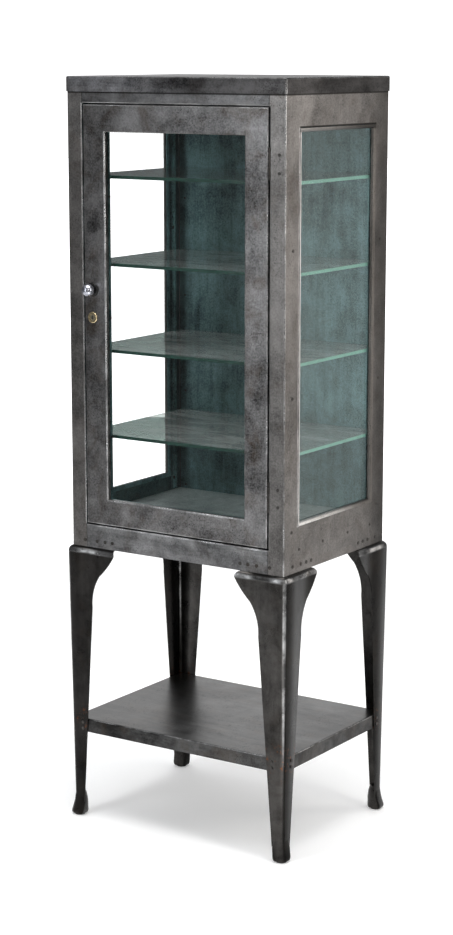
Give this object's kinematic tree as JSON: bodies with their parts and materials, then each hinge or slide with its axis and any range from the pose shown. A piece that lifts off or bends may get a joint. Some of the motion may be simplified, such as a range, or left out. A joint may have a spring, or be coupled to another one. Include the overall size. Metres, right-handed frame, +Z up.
{
  "type": "glazed steel supply cabinet",
  "caption": "Free-standing stripped-steel supply cabinet with a glazed hinged door, glazed sides, glass shelves, pressed legs and an open lower shelf.",
  "frame": {"origin": "on the floor, at the middle of the box round the whole object with its knob", "axes": "+Z up, front with the door faces -Y, +X to the right of someone facing the door"},
  "size_m": [0.527, 0.418, 1.516],
  "materials": {
    "body_steel": "stripped and brushed gunmetal with a mottled patina",
    "door_steel": "stripped and brushed gunmetal with pitting",
    "leg_steel": "dark oiled steel",
    "lower_shelf_steel": "dark satin steel",
    "inner_steel": "dull brushed steel",
    "bead_steel": "worn bright steel",
    "glide_steel": "dark worn steel",
    "hardware_steel": "dull steel",
    "knob_chrome": "polished",
    "lock_brass": "aged",
    "pane_glass": "clear",
    "shelf_glass": "clear with green edges"
  },
  "bodies": {
    "cabinet": {"back_panel": "inner_steel", "back_panel_screws": "hardware_steel", "cabinet_deck": "inner_steel", "carcass_top": "inner_steel", "deck_screws": "hardware_steel", "foot_glides": "glide_steel", "front_bottom_rail": "body_steel", "front_left_leg": "leg_steel", "front_right_leg": "leg_steel", "front_top_rail": "body_steel", "hinge_screws": "hardware_steel", "left_front_standard": "inner_steel", "left_rear_standard": "inner_steel", "left_side_pane": "pane_glass", "left_side_panel": "body_steel", "left_window_beads": "bead_steel", "left_window_rebate": "inner_steel", "leg_rivets": "hardware_steel", "lower_hinge_frame_leaf": "hardware_steel", "lower_hinge_pin": "hardware_steel", "lower_shelf": "lower_shelf_steel", "lower_shelf_rivets": "hardware_steel", "rear_bottom_rail": "body_steel", "rear_left_leg": "leg_steel", "rear_right_leg": "leg_steel", "right_front_standard": "inner_steel", "right_rear_standard": "inner_steel", "right_side_pane": "pane_glass", "right_side_panel": "body_steel", "right_window_beads": "bead_steel", "right_window_rebate": "inner_steel", "shelf_clips": "inner_steel", "standard_screws": "hardware_steel", "top_cap": "body_steel", "upper_hinge_frame_leaf": "hardware_steel", "upper_hinge_pin": "hardware_steel"},
    "door": {"door_frame": "door_steel", "door_pane": "pane_glass", "door_glass_stops": "inner_steel", "glass_stop_screws": "hardware_steel", "knob_rosette": "knob_chrome", "lock_barrel": "lock_brass", "lock_nut": "hardware_steel", "upper_hinge_door_leaf": "hardware_steel", "lower_hinge_door_leaf": "hardware_steel"},
    "knob": {"door_knob": "knob_chrome", "knob_spindle": "hardware_steel", "turn_catch": "hardware_steel", "spindle_nut": "hardware_steel"},
    "lock": {"lock_plug": "lock_brass", "lock_cam": "hardware_steel", "lock_cam_screw": "hardware_steel"},
    "upper_shelf": {"upper_shelf": "shelf_glass"},
    "second_shelf": {"second_shelf": "shelf_glass"},
    "third_shelf": {"third_shelf": "shelf_glass"},
    "bottom_shelf": {"bottom_shelf": "shelf_glass"}
  },
  "joints": [
    {"name": "door_hinge", "type": "hinge", "parent": "cabinet", "child": "door", "pos_m": [0.2175, -0.1805, 1.043], "axis": [0, 0, 1], "range_deg": [0, 120]},
    {"name": "knob_turn", "type": "hinge", "parent": "door", "child": "knob", "pos_m": [-0.196, -0.1815, 1.1], "axis": [0, -1, 0], "range_deg": [0, 90]},
    {"name": "lock_turn", "type": "hinge", "parent": "door", "child": "lock", "pos_m": [-0.196, -0.1815, 1.0447], "axis": [0, 1, 0], "range_deg": [0, 90]},
    {"name": "upper_shelf_lift", "type": "slide", "parent": "cabinet", "child": "upper_shelf", "axis": [0, 0, 1], "range_m": [0, 0.012]},
    {"name": "second_shelf_lift", "type": "slide", "parent": "cabinet", "child": "second_shelf", "axis": [0, 0, 1], "range_m": [0, 0.012]},
    {"name": "third_shelf_lift", "type": "slide", "parent": "cabinet", "child": "third_shelf", "axis": [0, 0, 1], "range_m": [0, 0.012]},
    {"name": "bottom_shelf_lift", "type": "slide", "parent": "cabinet", "child": "bottom_shelf", "axis": [0, 0, 1], "range_m": [0, 0.012]}
  ]
}
